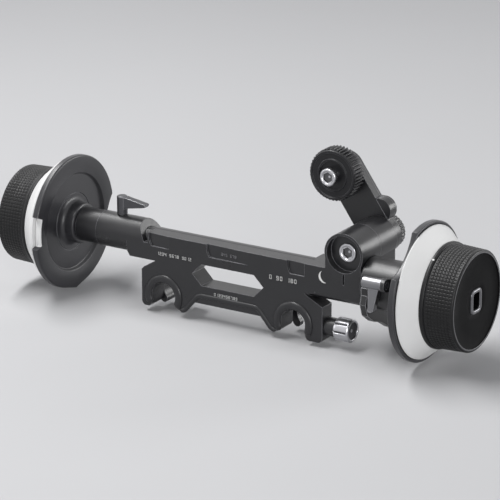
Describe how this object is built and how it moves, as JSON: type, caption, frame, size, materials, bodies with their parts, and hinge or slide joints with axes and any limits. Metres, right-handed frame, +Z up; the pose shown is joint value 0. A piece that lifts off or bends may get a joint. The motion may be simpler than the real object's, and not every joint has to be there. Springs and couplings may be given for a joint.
{
  "type": "follow focus unit",
  "caption": "Dual-wheel follow focus: a saddle bridge for two studio rods, hand wheels with white marking rings, levers and a swinging geared arm.",
  "frame": {"origin": "midway between the axes of the two rods, in the upright plane of the wheel shaft", "axes": "+X along the bridge towards the geared end, +Y towards the back where the arm's cover lies, +Z up"},
  "size_m": [0.3603, 0.0984, 0.1277],
  "materials": {
    "black_anodised": "black anodised, fine satin",
    "bronze": "sintered bronze",
    "bright_steel": "ground steel",
    "gear_steel": "hobbed steel",
    "silver_satin": "clear anodised, satin",
    "white_ring": "white, wipes clean",
    "grip_black": "black anodised, knurled grip",
    "cap_black": "black anodised, smooth",
    "bright_screw": "bright plated",
    "gear_brass": "machined",
    "gear_black": "hard anodised",
    "core_grey": "clear anodised",
    "pad": "dense drag pad",
    "chrome_knob": "polished"
  },
  "bodies": {
    "bridge": {"bridge_body": "black_anodised", "shaft_bushes": "bronze", "left_sleeve": "black_anodised", "right_sleeve": "black_anodised", "cross_cap_screw": "bright_screw", "pivot_housing": "black_anodised", "pivot_bushes": "bronze", "side_bracket": "black_anodised", "bracket_screws": "bright_screw"},
    "wheels": {"wheel_shaft": "bright_steel", "shaft_gear": "gear_steel", "shaft_collars": "gear_steel", "left_wheel": "grip_black", "right_wheel": "grip_black", "left_marking_ring": "white_ring", "right_marking_ring": "white_ring", "left_wheel_core": "core_grey", "right_wheel_core": "core_grey", "left_wheel_cap": "cap_black", "right_wheel_cap": "cap_black", "left_whip_socket": "black_anodised", "right_whip_socket": "black_anodised"},
    "left_index": {"left_index_plate": "black_anodised"},
    "right_index": {"right_index_plate": "black_anodised"},
    "arm": {"arm_housing": "black_anodised", "arm_cover": "black_anodised", "cover_screws": "bright_screw", "idler_pins": "bright_steel", "axle_bush": "bronze", "drag_pad": "pad"},
    "cross": {"cross_shaft": "bright_steel", "cross_gear": "gear_steel", "drive_gear": "gear_brass"},
    "idler_one": {"idler_gear_one": "gear_brass"},
    "idler_two": {"idler_gear_two": "gear_brass"},
    "focus": {"driven_gear": "gear_brass", "gear_axle": "bright_steel", "focus_gear": "gear_black", "gear_screw": "bright_screw"},
    "drag": {"drag_knob": "grip_black"},
    "clamp": {"clamp_shoe": "gear_steel"},
    "clamp_grip": {"clamp_screw": "bright_steel", "clamp_collar": "black_anodised", "clamp_knob": "chrome_knob"},
    "barrel_lever": {"left_lever": "silver_satin", "left_lever_stud": "bright_steel"},
    "bracket_lever": {"side_lever": "silver_satin", "side_lever_stud": "bright_steel"}
  },
  "joints": [
    {"name": "wheel_turn", "type": "hinge", "parent": "bridge", "child": "wheels", "pos_m": [0, 0, 0.0364], "axis": [1, 0, 0], "continuous": true},
    {"name": "left_plate_turn", "type": "hinge", "parent": "bridge", "child": "left_index", "pos_m": [-0.1355, 0, 0.0364], "axis": [1, 0, 0], "continuous": true},
    {"name": "right_plate_turn", "type": "hinge", "parent": "bridge", "child": "right_index", "pos_m": [0.1432, 0, 0.0364], "axis": [1, 0, 0], "continuous": true},
    {"name": "arm_swing", "type": "hinge", "parent": "bridge", "child": "arm", "pos_m": [0.09055, 0, 0.0551], "axis": [0, 1, 0], "range_deg": [-60, 60]},
    {"name": "cross_turn", "type": "hinge", "parent": "arm", "child": "cross", "pos_m": [0.09055, 0, 0.0551], "axis": [0, 1, 0], "continuous": true},
    {"name": "idler_one_turn", "type": "hinge", "parent": "arm", "child": "idler_one", "pos_m": [0.08084, 0, 0.06881], "axis": [0, 1, 0], "continuous": true},
    {"name": "idler_two_turn", "type": "hinge", "parent": "arm", "child": "idler_two", "pos_m": [0.07113, 0, 0.08252], "axis": [0, 1, 0], "continuous": true},
    {"name": "focus_turn", "type": "hinge", "parent": "arm", "child": "focus", "pos_m": [0.06143, 0, 0.09623], "axis": [0, 1, 0], "continuous": true},
    {"name": "drag_knob_turn", "type": "hinge", "parent": "arm", "child": "drag", "pos_m": [0.09055, 0.0445, 0.0551], "axis": [0, 1, 0], "range_deg": [-60, 60]},
    {"name": "clamp_turn", "type": "hinge", "parent": "clamp", "child": "clamp_grip", "pos_m": [0.0787, -0.0048, 0], "axis": [1, 0, 0], "range_deg": [0, 720.1]},
    {"name": "clamp_slide", "type": "slide", "parent": "bridge", "child": "clamp", "axis": [1, 0, 0], "range_m": [0, 0.002]},
    {"name": "barrel_lever_turn", "type": "hinge", "parent": "bridge", "child": "barrel_lever", "pos_m": [-0.0938, 0, 0.0488], "axis": [0, 0, 1], "range_deg": [-90, 90]},
    {"name": "bracket_lever_turn", "type": "hinge", "parent": "bridge", "child": "bracket_lever", "pos_m": [0.118, -0.021, 0.043], "axis": [1, 0, 0], "range_deg": [-70, 0]}
  ],
  "couplings": [
    {"joint": "cross_turn", "follows": "wheel_turn", "ratio": 0.66667},
    {"joint": "idler_one_turn", "follows": "wheel_turn", "ratio": -0.66667},
    {"joint": "idler_two_turn", "follows": "wheel_turn", "ratio": 0.66667},
    {"joint": "focus_turn", "follows": "wheel_turn", "ratio": -0.66667},
    {"joint": "clamp_turn", "follows": "clamp_slide", "rad_per_m": 6283.2}
  ]
}
